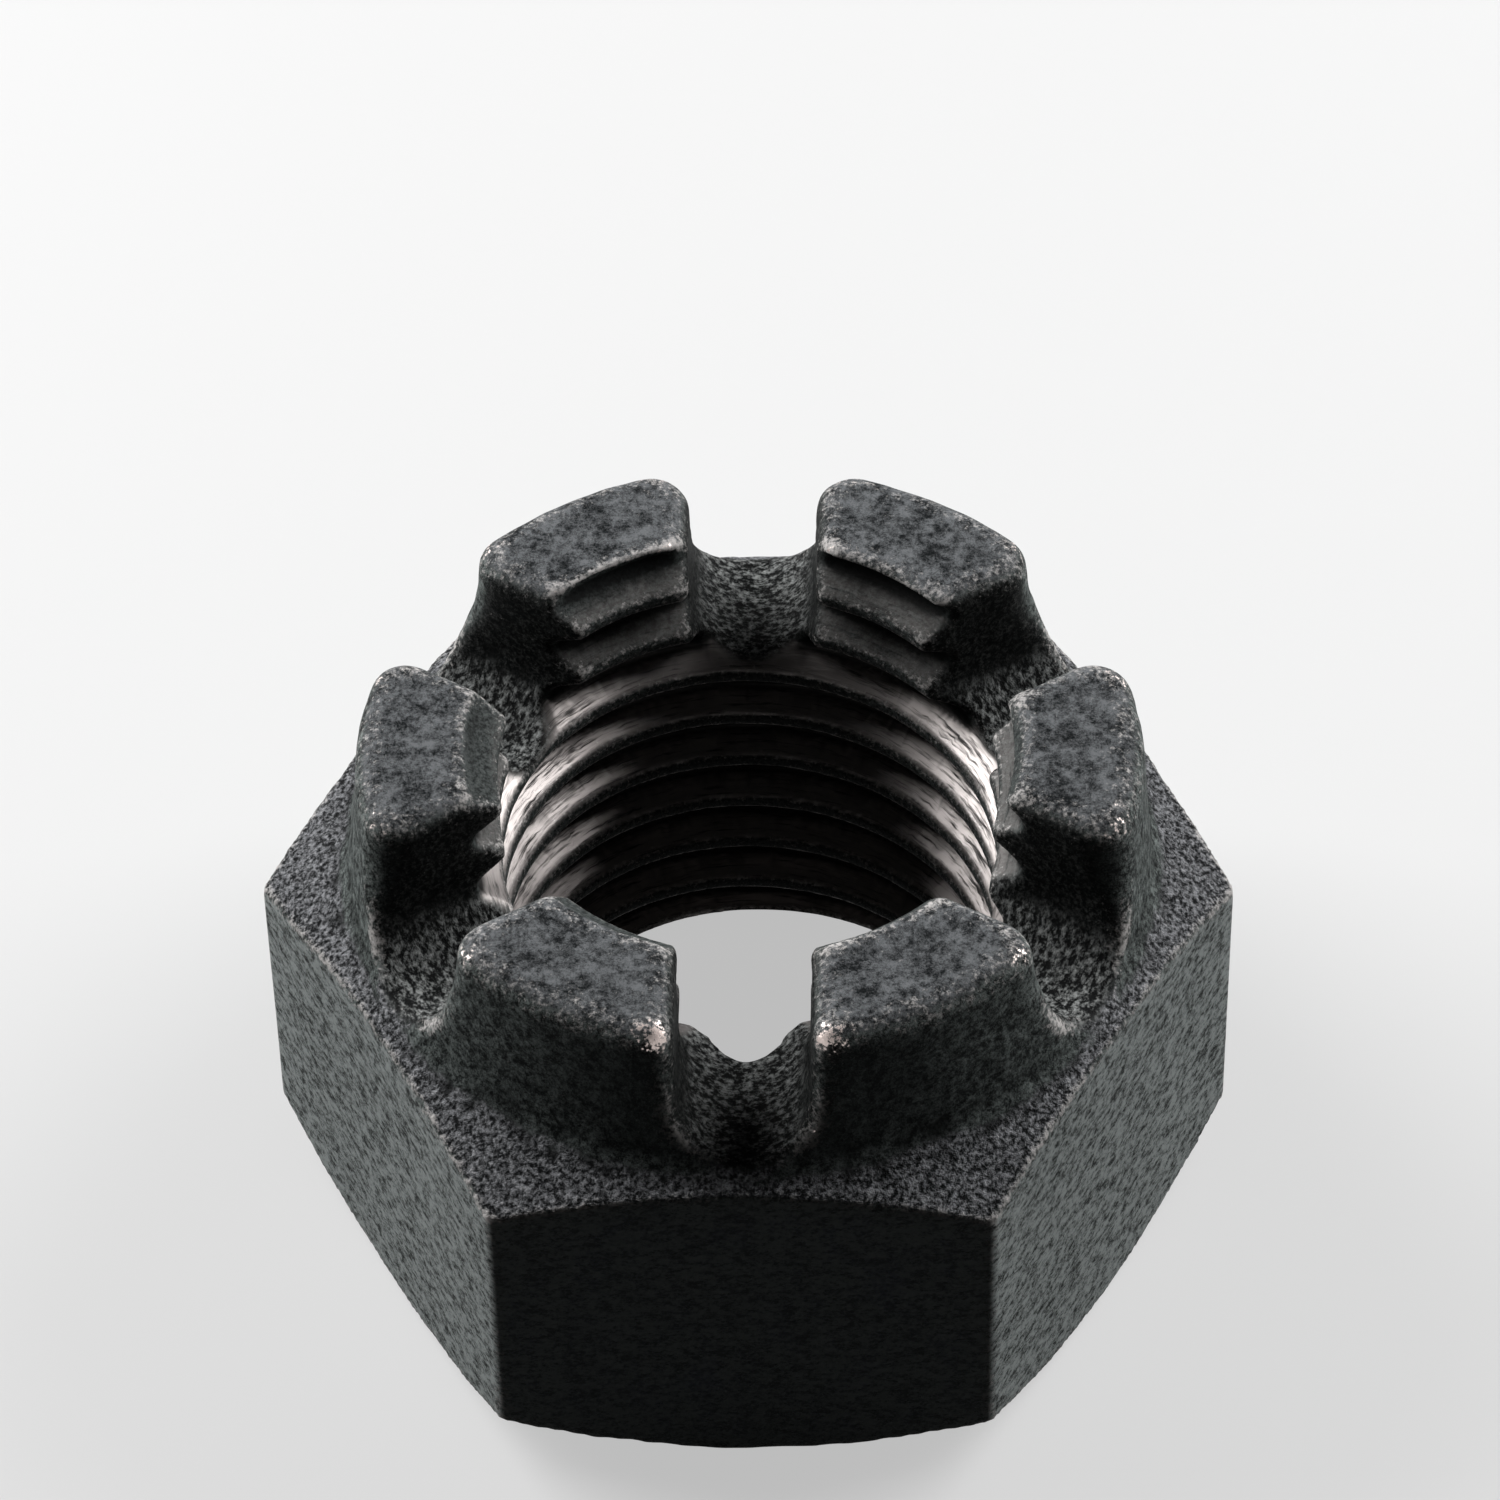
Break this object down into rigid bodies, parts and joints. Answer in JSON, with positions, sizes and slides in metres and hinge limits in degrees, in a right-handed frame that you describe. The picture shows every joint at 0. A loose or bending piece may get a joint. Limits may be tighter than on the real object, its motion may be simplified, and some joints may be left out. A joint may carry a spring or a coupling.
{
  "type": "castle nut",
  "caption": "Hexagonal castle nut with a slotted crown for a split pin and a coarse thread through it.",
  "frame": {"origin": "centre of the bearing face, on the thread's axis", "axes": "+Z along the thread, from the bearing face to the crown; one flat and one slot face -Y"},
  "size_m": [0.053, 0.046, 0.0327],
  "materials": {
    "blackened_steel": "dark phosphated forged steel, satin, worn bright on the edges"
  },
  "bodies": {
    "root": {"castle_nut": "blackened_steel"}
  },
  "joints": []
}
